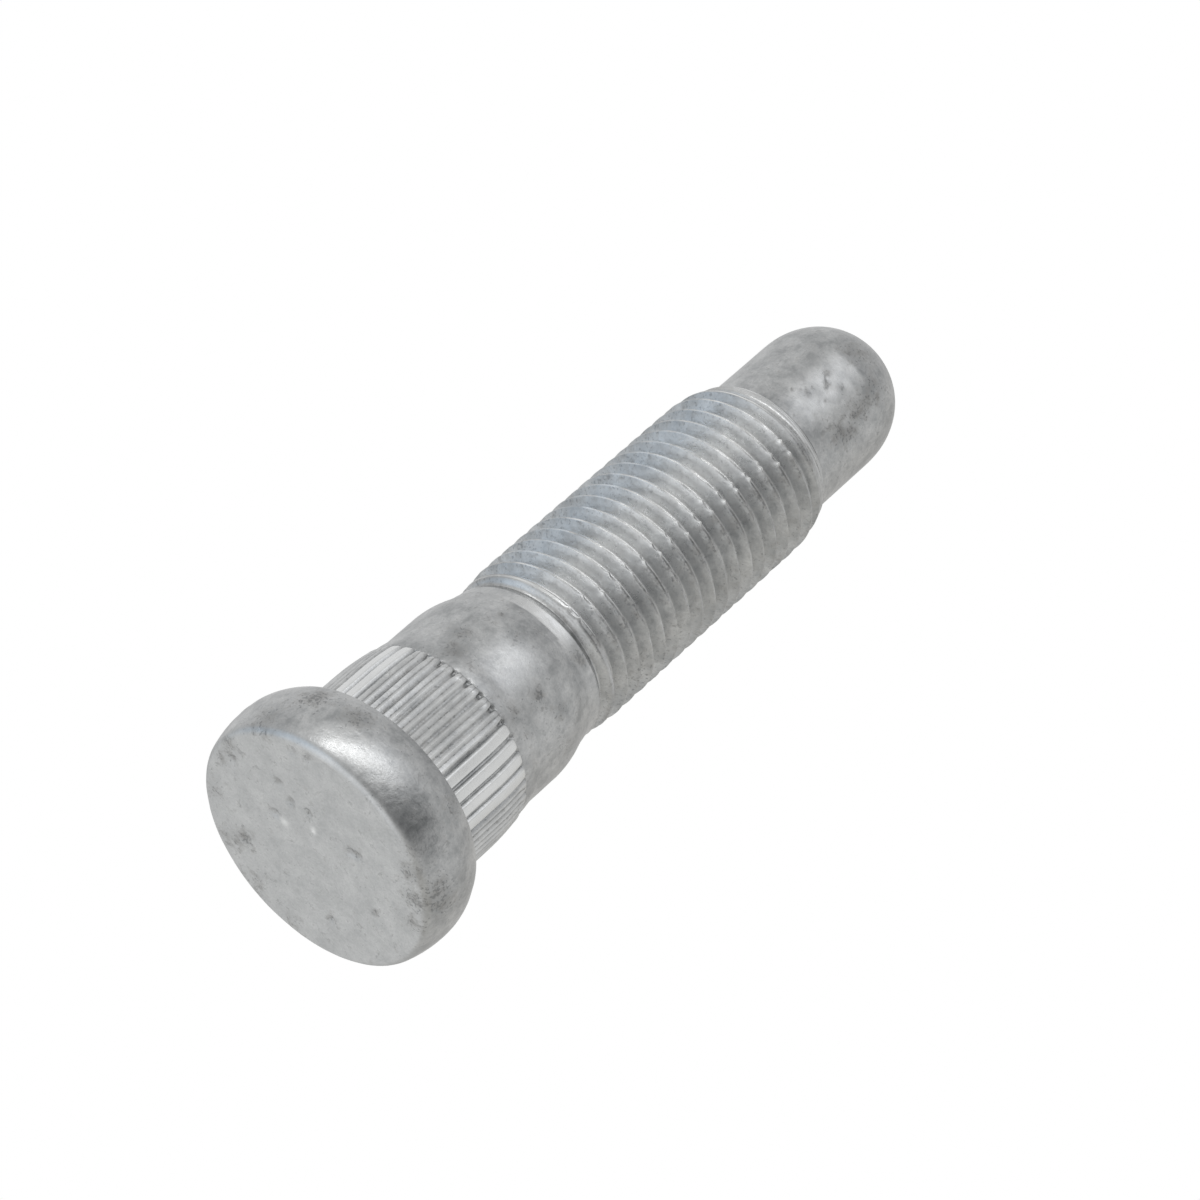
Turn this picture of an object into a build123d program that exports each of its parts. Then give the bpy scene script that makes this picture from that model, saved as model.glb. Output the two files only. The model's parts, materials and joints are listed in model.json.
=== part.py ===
from build123d import *
import os

# Press-in wheel stud, one forged bar: a round head, a serrated band that bites into the hub flange,
# a smooth shoulder, a tapered neck, a thread blank at the thread's outside diameter and a smooth
# pilot point with a domed end, which guides the wheel and the nut on.
# It stands on its head: the head's outer face lies on z = 0 and the shank points up along +Z.

# Outside diameter of the thread
thread_diameter = 14.0

# Steps in radius, each from the one that carries it
neck_depth = 0.27
shoulder_step = 0.5
serration_rise = 0.58
head_overhang = 2.32
pilot_step = 1.14

# Lengths along the axis, from the head's face to the tip
face_to_crown = 3.1
crown_to_seat = 2.8
serration_length = 7.2
serration_nose = 0.5
shoulder_length = 5.0
neck_blend = 4.8
thread_run_in = 2.6
thread_length = 22.2
thread_round = 3.9
pilot_length = 7.24

# Curve of the rim, edges and serrations
face_bulge = 0.55
seat_bulge = 0.85
face_edge_radius = 0.45
under_head_chamfer = 0.25
serration_count = 40
groove_width = 0.48
groove_floor = 0.05

# Radii
thread_radius = thread_diameter / 2
neck_radius = thread_radius - neck_depth
shoulder_radius = thread_radius + shoulder_step
serration_radius = shoulder_radius + serration_rise
crown_radius = serration_radius + head_overhang
face_radius = crown_radius - face_bulge
seat_radius = crown_radius - seat_bulge
pilot_radius = thread_radius - pilot_step

# Heights
crown_z = face_to_crown
seat_z = crown_z + crown_to_seat
nose_z = seat_z + serration_length
shoulder_z = nose_z + serration_nose
blend_z = shoulder_z + shoulder_length
neck_z = blend_z + neck_blend
thread_z = neck_z + thread_run_in
round_z = thread_z + thread_length
pilot_z = round_z + thread_round
dome_z = pilot_z + pilot_length
tip_z = dome_z + pilot_radius

# The blend from shoulder to neck is two arcs that meet half way
blend_middle = ((shoulder_radius + neck_radius) / 2, (blend_z + neck_z) / 2)

# Each serration groove is a V whose root stays just above the shoulder, and whose sides run on past the lands
groove_root = shoulder_radius + groove_floor
groove_mouth = serration_radius + (serration_radius - groove_root)
groove_z = seat_z + under_head_chamfer

with BuildPart() as wheel_stud:
    # Half section, turned once around the axis
    with BuildSketch(Plane.XZ) as section:
        with BuildLine():
            Line((0, 0), (face_radius, 0))
            TangentArc((crown_radius, crown_z), (face_radius, 0), tangent=(0, -1))
            TangentArc((crown_radius, crown_z), (seat_radius, seat_z), tangent=(0, 1))
            Polyline((seat_radius, seat_z), (serration_radius, seat_z), (serration_radius, nose_z))
            Polyline((serration_radius, nose_z), (shoulder_radius, shoulder_z), (shoulder_radius, blend_z))
            TangentArc((shoulder_radius, blend_z), blend_middle, tangent=(0, 1))
            TangentArc((neck_radius, neck_z), blend_middle, tangent=(0, -1))
            Polyline((neck_radius, neck_z), (thread_radius, thread_z), (thread_radius, round_z))
            TangentArc((thread_radius, round_z), (pilot_radius, pilot_z), tangent=(0, 1))
            Line((pilot_radius, pilot_z), (pilot_radius, dome_z))
            TangentArc((pilot_radius, dome_z), (0, tip_z), tangent=(0, 1))
            Line((0, tip_z), (0, 0))
        make_face()
        face_corner = section.vertices().sort_by_distance((face_radius, 0))[0]
        fillet(face_corner, face_edge_radius)
        under_head_corner = section.vertices().sort_by_distance((serration_radius, seat_z))[0]
        chamfer(under_head_corner, under_head_chamfer)
    revolve(axis=Axis.Z)

    # Straight serrations: one groove between each pair of lands, from under the head to the shoulder
    with BuildSketch(Plane.XY.offset(groove_z)) as serrations:
        with PolarLocations(0, serration_count):
            Polygon((groove_root, 0), (groove_mouth, groove_width), (groove_mouth, -groove_width), align=None)
    extrude(amount=shoulder_z - groove_z, mode=Mode.SUBTRACT)

wheel_stud.part.label = "wheel_stud"

os.makedirs("parts", exist_ok=True)
export_step(wheel_stud.part, "parts/wheel_stud.step")

print("stud length", round(tip_z, 2), "head diameter", round(2 * crown_radius, 2))
print("serrated band diameter", round(2 * serration_radius, 2), "shoulder diameter", round(2 * shoulder_radius, 2))
print("volume in cubic millimetres", round(wheel_stud.part.volume, 1))
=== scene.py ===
# %% [markdown]
# # A press-in wheel stud
# A wheel stud is one steel pin. Its head and steps are forged, its serrations and its thread are rolled,
# and the whole pin is plated with zinc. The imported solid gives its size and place. This lesson models the
# same stud again with the detail that shows close up: the rolled thread, rounded serrations, dents and
# burrs, and the plated finish.

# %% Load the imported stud
import json
import math
import random

import bpy
from mathutils import Matrix, Vector, noise


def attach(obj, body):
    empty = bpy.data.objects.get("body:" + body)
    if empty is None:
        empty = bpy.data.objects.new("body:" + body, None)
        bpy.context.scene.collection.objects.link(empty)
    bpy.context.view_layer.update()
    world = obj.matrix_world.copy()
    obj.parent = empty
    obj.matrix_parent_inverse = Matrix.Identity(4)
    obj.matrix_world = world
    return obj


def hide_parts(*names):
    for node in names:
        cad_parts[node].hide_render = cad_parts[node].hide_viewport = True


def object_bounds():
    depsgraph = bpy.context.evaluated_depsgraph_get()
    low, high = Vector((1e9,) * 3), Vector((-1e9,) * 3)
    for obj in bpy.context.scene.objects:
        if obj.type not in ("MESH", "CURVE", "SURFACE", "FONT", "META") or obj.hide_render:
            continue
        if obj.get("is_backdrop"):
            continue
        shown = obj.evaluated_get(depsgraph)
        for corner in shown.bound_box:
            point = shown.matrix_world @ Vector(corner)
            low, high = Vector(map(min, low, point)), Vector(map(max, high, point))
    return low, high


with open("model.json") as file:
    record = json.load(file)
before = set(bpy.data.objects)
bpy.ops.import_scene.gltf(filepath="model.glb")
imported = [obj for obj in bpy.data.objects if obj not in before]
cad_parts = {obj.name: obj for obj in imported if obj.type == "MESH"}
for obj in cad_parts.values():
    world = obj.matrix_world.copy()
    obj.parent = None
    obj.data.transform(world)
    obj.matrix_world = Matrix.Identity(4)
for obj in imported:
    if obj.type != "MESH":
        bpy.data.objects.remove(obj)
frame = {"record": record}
cad_low, cad_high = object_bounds()
MM = 0.001
print("packed stud, in mm:", [round(size / MM, 2) for size in cad_high - cad_low])

# %% [markdown]
# ## Sizes
# The sizes that other parts fit come from the frame: the thread, the serrated band and the seat under the
# head are mounts in its record, and the box gives the head's radius and the length. The rest are steps from
# those, in millimetres. The stud stands on its head, with its axis along Z.

# %% Radii and heights in millimetres
mounts = {mount["name"]: mount for mount in frame["record"]["mounts"]}
thread_radius = mounts["thread"]["dims"]["r_mm"]
thread_length = mounts["thread"]["dims"]["length_mm"]
thread_start = mounts["thread"]["pos_m"][2] / MM - thread_length / 2
thread_end = thread_start + thread_length
land_radius = mounts["serrated_band"]["dims"]["r_mm"]
seat_height = mounts["head_seat"]["pos_m"][2] / MM
crown_radius = cad_high.x / MM
tip_height = cad_high.z / MM

neck_depth = 0.27
shoulder_step = 0.5
pilot_step = 1.14
face_bulge = 0.55
seat_bulge = 0.85
neck_radius = thread_radius - neck_depth
shoulder_radius = thread_radius + shoulder_step
pilot_radius = thread_radius - pilot_step
face_radius = crown_radius - face_bulge
seat_radius = crown_radius - seat_bulge

crown_height = 3.1
under_head_chamfer = 0.25
nose_start = 13.3
shoulder_start = 13.85
blend_start = 18.6
thread_run_in = 2.6
thread_round = 3.9
band_start = seat_height + under_head_chamfer
neck_height = thread_start - thread_run_in
pilot_start = thread_end + thread_round
dome_start = tip_height - pilot_radius
print("thread from", round(thread_start, 2), "to", round(thread_end, 2), "and tip at", round(tip_height, 2))

# %% [markdown]
# ## Drawing an outline and turning it
# Every round part of the stud is a half section turned around the axis. Cylinders with bevels could be
# stacked instead, but an outline keeps the arcs of the real profile. A chain of edges is drawn as by hand:
# a plane is merged to one vertex, which is then extruded from point to point. Curves are arcs that leave a
# point in a given direction, as on a drawing, so each outline needs only a few sizes.

# %% Helpers for outlines
STEPS_AROUND = 160
MERGE_DISTANCE = 0.0005 * MM


def straight(start, end, steps):
    """Points from start to end on a line, without the start."""
    return [tuple(Vector(start).lerp(Vector(end), step / steps)) for step in range(1, steps + 1)]


def arc(start, end, leaving, steps):
    """Points of the arc that leaves start in one direction and reaches end, without the start."""
    chord = Vector(end) - Vector(start)
    side = Vector((-leaving[1], leaving[0])).normalized()
    radius = chord.length_squared / (2 * chord.dot(side))
    centre = Vector(start) + side * radius
    first = math.atan2(start[1] - centre.y, start[0] - centre.x)
    last = math.atan2(end[1] - centre.y, end[0] - centre.x)
    turn = (last - first + math.pi) % math.tau - math.pi
    points = []
    for step in range(1, steps + 1):
        angle = first + turn * step / steps
        points.append((centre.x + abs(radius) * math.cos(angle), centre.y + abs(radius) * math.sin(angle)))
    return points


def draw_chain(name, points):
    """A chain of edges through points given in millimetres, left in edit mode with all of it selected."""
    bpy.ops.object.select_all(action="DESELECT")
    bpy.ops.mesh.primitive_plane_add(size=MM)
    piece = bpy.context.object
    piece.name = name
    bpy.ops.object.mode_set(mode="EDIT")
    bpy.ops.mesh.merge(type="CENTER")
    bpy.ops.transform.translate(value=Vector(points[0]) * MM)
    for here, there in zip(points, points[1:]):
        step = (Vector(there) - Vector(here)) * MM
        bpy.ops.mesh.extrude_vertices_move(TRANSFORM_OT_translate={"value": step})
    bpy.ops.mesh.select_all(action="SELECT")
    return piece


def turn_outline(name, outline):
    """A round piece: an outline of radius and height, spun once around the axis."""
    piece = draw_chain(name, [(radius, 0, height) for radius, height in outline])
    bpy.ops.mesh.spin(steps=STEPS_AROUND, angle=math.tau, center=(0, 0, 0), axis=(0, 0, 1))
    bpy.ops.mesh.select_all(action="SELECT")
    bpy.ops.mesh.remove_doubles(threshold=MERGE_DISTANCE)
    bpy.ops.object.mode_set(mode="OBJECT")
    print(name, "has", len(piece.data.polygons), "faces")
    return piece


print("round pieces have", STEPS_AROUND, "steps around")

# %% [markdown]
# ## The head
# The head is upset from the bar, so its rim bulges where the metal flowed out between the tools, and it is
# flat where it was struck. A bevelled cylinder would have a straight rim, so the rim is two arcs that meet
# at the crown. The flat face gets close rings, so that dents can be pressed into it later.

# %% Turn the head
face_edge_radius = 0.75
face_rings = 30
edge_steps = 8
rim_steps = 12
seat_rings = 3
rim_arc_radius = (crown_height**2 + (crown_radius - face_radius) ** 2) / (2 * (crown_radius - face_radius))
rim_centre = Vector((crown_radius - rim_arc_radius, crown_height))
edge_rise = crown_height - face_edge_radius
edge_centre_radius = rim_centre.x + math.sqrt((rim_arc_radius - face_edge_radius) ** 2 - edge_rise**2)
edge_centre = Vector((edge_centre_radius, face_edge_radius))
face_edge = (edge_centre_radius, 0)
edge_top = tuple(edge_centre + (edge_centre - rim_centre).normalized() * face_edge_radius)
crown = (crown_radius, crown_height)
seat_edge = (seat_radius, seat_height)
seat_inside = (land_radius + under_head_chamfer, seat_height)

rim_front = [edge_top] + arc(crown, edge_top, (0, -1), rim_steps)[-2::-1] + [crown]
head_outline = [(0, 0)] + straight((0, 0), face_edge, face_rings)
head_outline += arc(face_edge, edge_top, (1, 0), edge_steps)[:-1]
head_outline += rim_front
head_outline += arc(crown, seat_edge, (0, 1), rim_steps)
head_outline += straight(seat_edge, seat_inside, seat_rings)
head = turn_outline("head", head_outline)

# %% [markdown]
# ## The serrations
# Forty straight lands are rolled onto the band under the head, and they bite into the hub when the stud is
# pressed in. Grooves could be cut from a cylinder, but the lands have rounded edges that a cut would not
# leave. So one pitch, from the middle of a land across a groove to the next land, is drawn once and
# extruded upwards row by row.

# %% One pitch of the band
serration_count = 40
pitch_angle = 360 / serration_count
groove_width = 0.48
groove_floor = 0.05
land_edge_rounding = 0.09
groove_root = shoulder_radius + groove_floor
wall_angle = math.degrees(math.asin(groove_width / 2 / land_radius))
half_pitch = [
    (0, groove_root),
    (wall_angle * 0.42, groove_root + 0.06),
    (wall_angle * 0.92, land_radius - land_edge_rounding),
    (wall_angle * 1.2, land_radius - 0.015),
    (wall_angle * 1.65, land_radius - 0.004),
    (wall_angle * 2.15, land_radius),
    (pitch_angle / 2, land_radius),
]
pitch_section = [(-angle, radius) for angle, radius in half_pitch[:0:-1]] + half_pitch


def around(angle, radius, height):
    """A point on the stud, from an angle in degrees around its axis, a radius and a height."""
    turn = math.radians(angle)
    return Vector((radius * math.cos(turn), radius * math.sin(turn), height))


band_end = 14.15
band_rows = [band_start, 7.2, 8.2, 9.2, 10.2, 11.1, 11.9, 12.5, 12.9, 13.15, nose_start, 13.42]
band_rows += [13.52, 13.6, 13.67, 13.73, 13.79, shoulder_start, 13.95, band_end]
band = draw_chain("band", [around(angle, radius, band_start) for angle, radius in pitch_section])
for low, high in zip(band_rows, band_rows[1:]):
    bpy.ops.mesh.extrude_edges_move(TRANSFORM_OT_translate={"value": (0, 0, (high - low) * MM)})
bpy.ops.object.mode_set(mode="OBJECT")
print("one pitch has", len(band.data.polygons), "faces")

# %% [markdown]
# The band tapers a little towards the thread, so that it enters the hub. At the end of each land the roll
# leaves a rounded nose, and beside it a small pit at the end of the groove. A bevel would round all edges
# alike, so each row is moved by a formula. The pitch is then copied around by a spin.

# %% Round the noses and spin the pitch around
nose_length = shoulder_start - nose_start
taper_start = 10.8
taper_drop = 0.2
taper_curve = 1.6
rolled_swell = 0.15
pit_height = 13.66
pit_depth = 0.11
pit_length = 0.24
pit_edge = 1.5
groove_spread = 0.5
spread_centre = 1.35
spread_share = 0.45
row_gap = 0.01


def clamp(value, low=0, high=1):
    """A value held between a low and a high one."""
    return min(max(value, low), high)


def taper(height):
    """How far the lands have sunk at a height, because the band tapers towards its noses."""
    along = max(height - taper_start, 0) / (nose_start - taper_start)
    return taper_drop * along**taper_curve


for vertex in band.data.vertices:
    place = vertex.co / MM
    angle = math.degrees(math.atan2(place.y, place.x))
    radius = math.hypot(place.x, place.y)
    rise = (radius - groove_root) / (land_radius - groove_root)
    along = clamp((place.z - nose_start) / nose_length)
    foot = shoulder_radius + rolled_swell
    land = radius - taper(place.z) * rise
    pit = pit_depth * math.exp(-(((place.z - pit_height) / pit_length) ** 2)) * max(1 - pit_edge * rise, 0)
    round_off = 1 - math.sqrt(max(1 - along**3, 0))
    radius = land + (foot - land) * round_off - pit
    if place.z < band_end - row_gap and abs(angle) < pitch_angle * spread_share:
        angle *= 1 + groove_spread * along**2 * (spread_centre - abs(angle) / (pitch_angle / 2))
    vertex.co = around(angle, radius, place.z) * MM

bpy.ops.object.mode_set(mode="EDIT")
bpy.ops.mesh.select_all(action="SELECT")
all_but_one = math.radians(360 - pitch_angle)
bpy.ops.mesh.spin(steps=serration_count - 1, dupli=True, angle=all_but_one, center=(0, 0, 0), axis=(0, 0, 1))
bpy.ops.mesh.select_all(action="SELECT")
bpy.ops.mesh.remove_doubles(threshold=MERGE_DISTANCE)
bpy.ops.object.mode_set(mode="OBJECT")
print("serrated band has", len(band.data.polygons), "faces")

# %% [markdown]
# The metal did not fill the rolls everywhere. Four sectors have full lands with deep grooves. Between them
# the lands are hollow along their middle and the grooves are shallow and wide. The copies already share one
# mesh, so their vertices are moved by the land that they belong to.

# %% Hollow the lands that did not fill
full_sectors = [(-54, 16), (-144, 9), (36, 16), (126, 14)]
hollow_depth = 0.13
hollow_angle = 2.5
hollow_curve = 0.8
hollow_end = nose_start + 0.1
hollow_run_out = 0.4
shallow_share = 0.36
full_share = 0.62
groove_widening = 0.3


def land_is_full(angle):
    """Whether the land at an angle filled the rolls; whole lands do or do not."""
    land_middle = (math.floor(angle / pitch_angle) + 0.5) * pitch_angle
    gaps = [(abs((land_middle - middle + 180) % 360 - 180), half) for middle, half in full_sectors]
    return any(gap < half for gap, half in gaps)


def from_land_middle(angle):
    """Degrees from the middle of the nearest land."""
    return abs(angle % pitch_angle - pitch_angle / 2)


for vertex in band.data.vertices:
    place = vertex.co / MM
    angle = math.degrees(math.atan2(place.y, place.x))
    from_middle = from_land_middle(angle)
    before_nose = clamp((hollow_end - place.z) / hollow_run_out)
    top = land_radius - taper(place.z)
    depth = top - math.hypot(place.x, place.y)
    hollow = 0
    share = full_share
    if not land_is_full(angle):
        share = shallow_share
        hollow = hollow_depth * max(1 - from_middle / hollow_angle, 0) ** hollow_curve * before_nose
        from_groove = (angle + pitch_angle / 2) % pitch_angle - pitch_angle / 2
        spread = max(1 - abs(from_groove) / (pitch_angle / 2), 0)
        angle += from_groove * groove_widening * spread * before_nose
    depth *= 1 - (1 - share) * before_nose
    vertex.co = around(angle, top - depth - hollow, place.z) * MM
full_lands = sum(land_is_full((land + 0.5) * pitch_angle) for land in range(serration_count))
print("full lands:", full_lands, "of", serration_count)

# %% [markdown]
# ## Shoulder and neck
# Past the serrations the bar is smooth, and it draws in to the neck, where the thread starts. Beside the
# noses it is still swollen by the metal that the rolls pushed ahead. The blend to the neck is two arcs that
# meet half way, drawn as part of the outline, because a bevel could not give both their different lengths.

# %% Turn the shoulder and the neck
blend_middle = ((shoulder_radius + neck_radius) / 2, (blend_start + neck_height) / 2)
shank_low = 14.3
shank_high = 21.6
swell_end = 15.7
swell_steps = 8
shoulder_steps = 12
lower_steps = 8
upper_steps = 24
lower_arc = arc((shoulder_radius, blend_start), blend_middle, (0, 1), lower_steps)
upper_arc = arc((neck_radius, neck_height), blend_middle, (0, -1), upper_steps)[::-1]
shank_outline = []
for step in range(swell_steps + 1):
    faded = step / swell_steps
    swell = rolled_swell * (0.5 + 0.5 * math.cos(math.pi * faded))
    shank_outline.append((shoulder_radius + swell, shank_low + (swell_end - shank_low) * faded))
shank_outline += straight((shoulder_radius, swell_end), (shoulder_radius, blend_start), shoulder_steps)
shank_outline += lower_arc
shank_outline += [point for point in upper_arc if blend_middle[1] < point[1] < shank_high]
shank = turn_outline("shank", shank_outline)

# %% [markdown]
# ## The thread
# The thread is rolled, so its roots are round and its crests are folded up from both sides and keep a fine
# seam. A stack of rings would look much the same, but it would have no lead and no true start. So one pitch
# of the section is drawn, and a Screw modifier winds it up the bar, one pitch higher each turn.

# %% Wind the thread
thread_pitch = 1.5
thread_turns = 23
root_depth = 0.92
root_rounding = thread_pitch * math.sqrt(3) / 12
crest_width = thread_pitch / 8
seam_depth = 0.025
crest_height_at_zero = 22.036 - thread_pitch
root_radius = thread_radius - root_depth
root_centre = root_radius + root_rounding


def root_point(degrees):
    """A point of the rounded root, by its angle from the deepest point, from the root's middle upwards."""
    turn = math.radians(degrees)
    return (root_centre - root_rounding * math.cos(turn), root_rounding * math.sin(turn) - thread_pitch / 2)


flank_foot = root_point(60)
crest_edge = (thread_radius - 0.05, -crest_width / 2)
crest_shoulder = (thread_radius - 0.012, -crest_width * 0.33)
crest_top = (thread_radius, -crest_width * 0.17)
flank_middle = tuple(Vector(flank_foot).lerp(Vector(crest_edge), 0.5))
flank_high = tuple(Vector(flank_foot).lerp(Vector(crest_edge), 0.86))
half_thread = [root_point(0), root_point(30), flank_foot, flank_middle, flank_high, crest_edge]
half_thread += [crest_shoulder, crest_top]
thread_section = half_thread + [(thread_radius - seam_depth, 0)]
thread_section += [(radius, -height) for radius, height in half_thread[::-1]]
chain = [(radius, 0, height + crest_height_at_zero) for radius, height in thread_section]
thread = draw_chain("thread", chain)
bpy.ops.object.mode_set(mode="OBJECT")
bpy.ops.object.modifier_add(type="SCREW")
winding = thread.modifiers[-1]
winding.axis = "Z"
winding.angle = math.tau
winding.screw_offset = thread_pitch * MM
winding.iterations = thread_turns
winding.steps = STEPS_AROUND
winding.render_steps = STEPS_AROUND
bpy.ops.object.modifier_apply(modifier=winding.name)
bpy.ops.object.mode_set(mode="EDIT")
bpy.ops.mesh.select_all(action="SELECT")
bpy.ops.mesh.remove_doubles(threshold=MERGE_DISTANCE)
bpy.ops.object.mode_set(mode="OBJECT")
print("thread has", len(thread.data.polygons), "faces")

# %% [markdown]
# A rolled thread fades in over about one turn on the neck, behind a fine step that marks how far the rolls
# reached. It fades out again before the pilot, and its crests follow the rounded end of the blank. Cutting
# the winding with a solid would leave sharp ends, so each point is held between the blank's surface and a
# floor that sinks to the full depth and rises again.

# %% Fit the thread between the blank and its floor
rolled_height = 22.25
rolled_step = 0.03
thread_fade_start = 22.9
thread_full = 24.4
thread_fade_out = 50.3
thread_cut = 51.1
end_step_height = 51.75
end_step = 0.05
step_radius = pilot_radius - end_step
blend_drop = shoulder_radius - neck_radius
blend_arc_radius = (blend_drop**2 + (neck_height - blend_start) ** 2) / (4 * blend_drop)
end_drop = thread_radius - pilot_radius
end_length = pilot_start - thread_end
end_radius = (end_drop**2 + end_length**2) / (2 * end_drop)


def blank_radius(height):
    """Radius of the blank that the thread is rolled on, from the blend's upper arc to the pilot."""
    if height < neck_height:
        below = neck_height - height
        radius = neck_radius + blend_arc_radius - math.sqrt(blend_arc_radius**2 - below**2)
        return radius - rolled_step * (height > rolled_height)
    if height < thread_start:
        run_in = (height - neck_height) / (thread_start - neck_height)
        return neck_radius + (thread_radius - neck_radius) * run_in - rolled_step * (1 - run_in)
    if height < thread_end:
        return thread_radius
    above = height - thread_end
    if height < end_step_height:
        return thread_radius - end_radius + math.sqrt(end_radius**2 - above**2)
    return step_radius


def fade(value, start, end):
    """A soft step from zero at start to one at end."""
    share = clamp((value - start) / (end - start))
    return share * share * (3 - 2 * share)


def window(value, start, full, end, gone):
    """A soft window: it opens from start to full, and closes from end to gone."""
    return fade(value, start, full) * (1 - fade(value, end, gone))


def thread_floor(height):
    """Radius below which the rolls have not pressed the thread, where it fades in and out."""
    pressed = window(height, thread_fade_start, thread_full, thread_fade_out, thread_cut)
    return blank_radius(height) * (1 - pressed) + root_radius * pressed


crest_wear = 0.05
wear_length = 0.6
for vertex in thread.data.vertices:
    place = vertex.co / MM
    radius = math.hypot(place.x, place.y)
    uneven_amount = crest_wear * max(noise.noise(place / wear_length), 0)
    wanted = min(max(radius, thread_floor(place.z)), blank_radius(place.z) - uneven_amount)
    vertex.co.x *= wanted / radius
    vertex.co.y *= wanted / radius
print("thread full from", thread_full, "to", thread_fade_out, "and gone at", thread_cut)

# %% [markdown]
# The winding is longer than the thread and its ends step by one pitch. It is cut level at both ends with a
# bisect, so that each end is a plain ring which can be bridged to the next stretch.

# %% Cut the thread's ends square
thread_low = shank_high + 0.05


def cut(piece, height, keep_above):
    """Cuts a piece level at a height and drops one side."""
    bpy.ops.object.select_all(action="DESELECT")
    piece.select_set(True)
    bpy.context.view_layer.objects.active = piece
    bpy.ops.object.mode_set(mode="EDIT")
    bpy.ops.mesh.select_all(action="SELECT")
    bpy.ops.mesh.bisect(
        plane_co=(0, 0, height * MM),
        plane_no=(0, 0, 1),
        clear_inner=keep_above,
        clear_outer=not keep_above,
        threshold=MERGE_DISTANCE,
    )
    bpy.ops.object.mode_set(mode="OBJECT")


cut(thread, thread_low, keep_above=True)
cut(thread, thread_cut, keep_above=False)
print("thread cut to", len(thread.data.polygons), "faces")

# %% [markdown]
# ## The pilot
# The last stretch is smooth and thinner than the thread, and ends in a dome, so that the wheel and the nut
# slide on. Between the two the rolls left a few fine rings and a small step. The dome is a little fuller
# than a half ball, so its outline is a superellipse, which an arc could not follow.

# %% Turn the pilot
pilot_low = 51.2
ring_height = 0.038
end_rings = [(pilot_low, 0), (51.27, 1.2), (51.35, 1.0), (51.41, 0)]
end_rings += [(51.48, 1.2), (51.57, 1.1), (51.65, 0.4), (51.72, 0.2)]
step_low = 51.77
step_high = 52.3
pilot_full = 53.4
pilot_steps = 20
dome_low = dome_start - 0.4
dome_length = tip_height - dome_low
dome_fullness = 2.12
dome_steps = 26
pilot_outline = [(blank_radius(height) + ring_height * rise, height) for height, rise in end_rings]
pilot_outline += [(step_radius, step_low), (step_radius, step_high), (pilot_radius, pilot_full)]
pilot_outline += straight((pilot_radius, pilot_full), (pilot_radius, dome_low), pilot_steps)
for step in range(1, dome_steps):
    turn = math.radians(90 * step / dome_steps)
    across = math.cos(turn) ** (2 / dome_fullness)
    along = math.sin(turn) ** (2 / dome_fullness)
    pilot_outline.append((pilot_radius * across, dome_low + dome_length * along))
pilot_outline += [(0, tip_height)]
pilot = turn_outline("pilot", pilot_outline)

# %% [markdown]
# ## One piece
# The five stretches are joined, and each open ring is bridged to the next one, so the stud is one closed
# skin, as the real one is one piece of steel. A boolean union could do it too, but it would leave slivers
# at the rings.

# %% Join the stretches and bridge their rings
bpy.ops.object.select_all(action="DESELECT")
for stretch in (head, band, shank, thread, pilot):
    stretch.select_set(True)
bpy.context.view_layer.objects.active = head
bpy.ops.object.join()
stud = bpy.context.object
stud.name = "plated_stud"
stud.data.name = "plated_stud"
ring_margin = 0.04


def bridge_open_rings(low, high):
    """Bridges the two open rings that lie at two heights."""
    bpy.ops.object.mode_set(mode="EDIT")
    bpy.ops.mesh.select_mode(type="EDGE")
    bpy.ops.mesh.select_all(action="DESELECT")
    bpy.ops.mesh.select_non_manifold(
        use_wire=False, use_multi_face=False, use_non_contiguous=False, use_verts=False
    )
    bpy.ops.object.mode_set(mode="OBJECT")
    corners = stud.data.vertices
    for edge in stud.data.edges:
        heights = [corners[corner].co.z / MM for corner in edge.vertices]
        edge.select = edge.select and low - ring_margin < min(heights) and max(heights) < high + ring_margin
    bpy.ops.object.mode_set(mode="EDIT")
    bpy.ops.mesh.bridge_edge_loops()
    bpy.ops.object.mode_set(mode="OBJECT")


bridge_open_rings(seat_height, band_start)
bridge_open_rings(band_end, shank_low)
bridge_open_rings(shank_outline[-1][1], thread_low)
bridge_open_rings(thread_cut, pilot_low)

bpy.ops.object.mode_set(mode="EDIT")
bpy.ops.mesh.select_all(action="SELECT")
bpy.ops.mesh.remove_doubles(threshold=MERGE_DISTANCE)
bpy.ops.mesh.normals_make_consistent(inside=False)
bpy.ops.mesh.select_all(action="DESELECT")
bpy.ops.mesh.select_non_manifold()
bpy.ops.object.mode_set(mode="OBJECT")
open_edges = sum(edge.select for edge in stud.data.edges)
print("stud has", len(stud.data.polygons), "faces and", open_edges, "open edges")

# %% [markdown]
# ## Forged skin
# A forged surface is never quite true. The head is the most uneven, the shoulder and the pilot less so, and
# the rolled parts are true. A Displace modifier would move them all alike, so each point is sunk by noise
# that depends on its stretch. Points only sink, so the stud stays inside its box.

# %% Sink the forged skin unevenly
camera_azimuth = 2.6
facing = camera_azimuth - 90
head_skin = 0.07
shank_skin = 0.025
skin_patch = 2.6
face_level = 0.01
seat_keep = 0.3
nose_keep = 1
crown_keep = 0.2
tip_keep = 1
for vertex in stud.data.vertices:
    place = vertex.co / MM
    radius = math.hypot(place.x, place.y)
    skin = head_skin if place.z < seat_height else shank_skin
    sunk = skin * max(noise.noise(place / skin_patch), 0)
    on_head = place.z < seat_height - seat_keep and abs(place.z - crown_height) >= crown_keep
    on_shoulder = shoulder_start + nose_keep < place.z < blend_start
    on_pilot = place.z > pilot_full
    if place.z < face_level:
        vertex.co.z += sunk * MM
    elif (on_head or on_shoulder or on_pilot) and radius > tip_keep:
        vertex.co.x *= 1 - sunk / radius
        vertex.co.y *= 1 - sunk / radius
print("skin sunk by up to", head_skin, "mm on the head and", shank_skin, "mm on the shank")

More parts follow.
